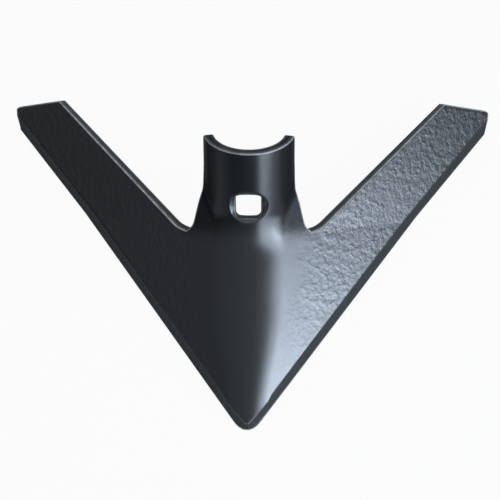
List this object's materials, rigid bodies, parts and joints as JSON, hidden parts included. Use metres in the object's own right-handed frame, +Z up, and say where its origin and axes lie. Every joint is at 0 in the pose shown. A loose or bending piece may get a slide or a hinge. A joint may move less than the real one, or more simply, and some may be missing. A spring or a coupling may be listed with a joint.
{
  "type": "cultivator sweep",
  "caption": "V-shaped forged cultivator sweep with bevelled wings, a raised crown and a half-round stem that bolts to the front of a shank through a countersunk square hole.",
  "frame": {"origin": "middle of the footprint, at the level of the cutting edges that the sweep lies on", "axes": "+X across the wings, +Y from the nose to the rear, +Z up"},
  "size_m": [0.2268, 0.1562, 0.0656],
  "materials": {
    "black_paint": "satin black over a forged surface"
  },
  "bodies": {
    "root": {"sweep": "black_paint"}
  },
  "joints": []
}
